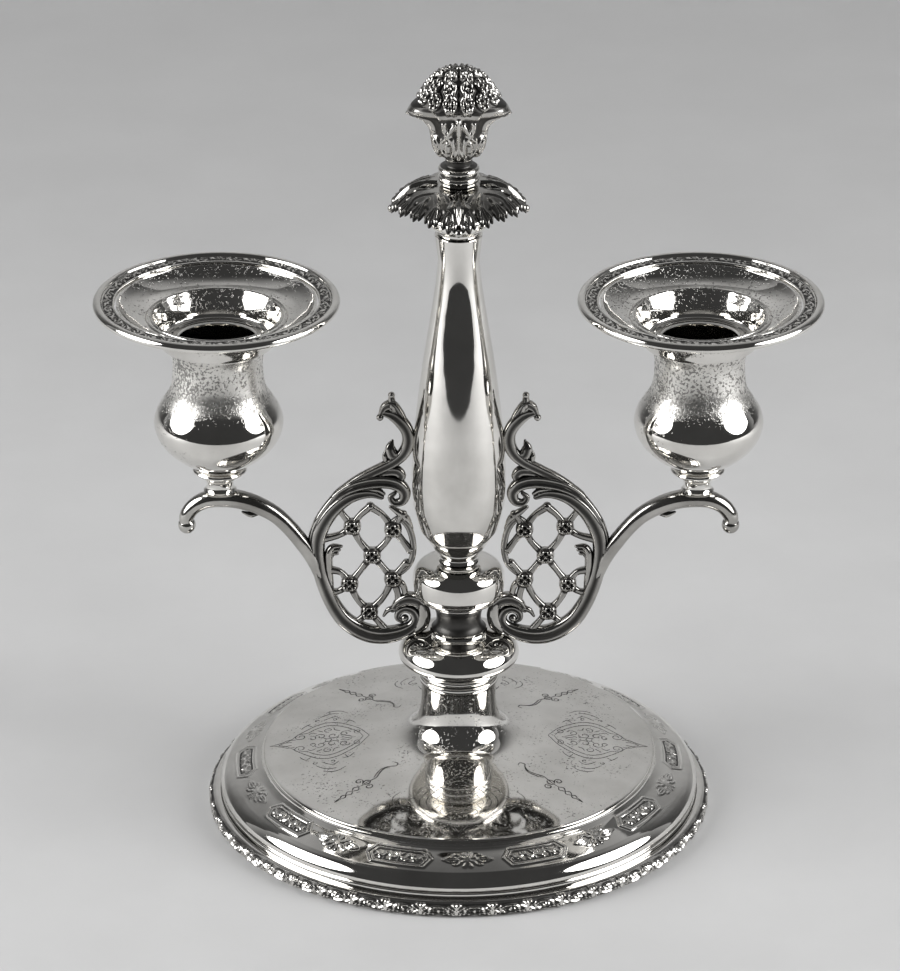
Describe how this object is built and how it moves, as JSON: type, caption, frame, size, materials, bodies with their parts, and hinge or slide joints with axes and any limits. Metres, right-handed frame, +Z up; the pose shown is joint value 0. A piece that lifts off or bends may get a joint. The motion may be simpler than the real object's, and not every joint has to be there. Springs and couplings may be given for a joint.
{
  "type": "tabletop candelabra",
  "caption": "Low silver candelabra: a weighted round foot, a turned column with scroll arms and pierced lattice, lift-out drip pans over vase cups and a leafy screw finial.",
  "frame": {"origin": "centre of the foot's underside, on the table", "axes": "+Z up the column, +X along the arms, towards the right cup, -Y towards the front"},
  "size_m": [0.2052, 0.1452, 0.2264],
  "materials": {
    "silver": "polished silver with dark tarnish left in the recesses and fine pitting",
    "steel": "plain drawn steel",
    "brass": "plain sheet and bar brass",
    "pitch": "cast pitch, dull black",
    "felt": "pressed wool felt"
  },
  "bodies": {
    "stand": {"base_shell": "silver", "foot_wire": "silver", "base_fill": "pitch", "cover_plate": "brass", "base_felt": "felt", "tie_rod": "steel", "rod_washer": "steel", "rod_nut": "brass", "reeded_collar": "silver", "lower_knop": "silver", "spool": "silver", "ball_knop": "silver", "stem_foot_ring": "silver", "stem_vase": "silver", "neck_ring": "silver", "leaf_calyx": "silver", "arm_left": "silver", "lattice_left": "silver", "pedestal_left": "silver", "cup_left": "silver", "cup_screw_left": "steel", "arm_right": "silver", "lattice_right": "silver", "pedestal_right": "silver", "cup_right": "silver", "cup_screw_right": "steel"},
    "drip_pan_left": {"nozzle_left": "silver", "pan_border_left": "silver"},
    "drip_pan_right": {"nozzle_right": "silver", "pan_border_right": "silver"},
    "finial_seat": {"finial_washer": "silver"},
    "finial": {"finial_collar": "silver", "finial_bud": "silver"}
  },
  "joints": [
    {"name": "nozzle_left_lift", "type": "slide", "parent": "stand", "child": "drip_pan_left", "axis": [0, 0, 1], "range_m": [0, 0.03]},
    {"name": "nozzle_right_lift", "type": "slide", "parent": "stand", "child": "drip_pan_right", "axis": [0, 0, 1], "range_m": [0, 0.03]},
    {"name": "finial_turn", "type": "hinge", "parent": "stand", "child": "finial_seat", "pos_m": [0, 0, 0.193], "axis": [0, 0, 1], "range_deg": [0, 2160]},
    {"name": "finial_rise", "type": "slide", "parent": "finial_seat", "child": "finial", "axis": [0, 0, 1], "range_m": [0, 0.0048]}
  ],
  "couplings": [
    {"joint": "finial_turn", "follows": "finial_rise", "rad_per_m": 7854}
  ]
}
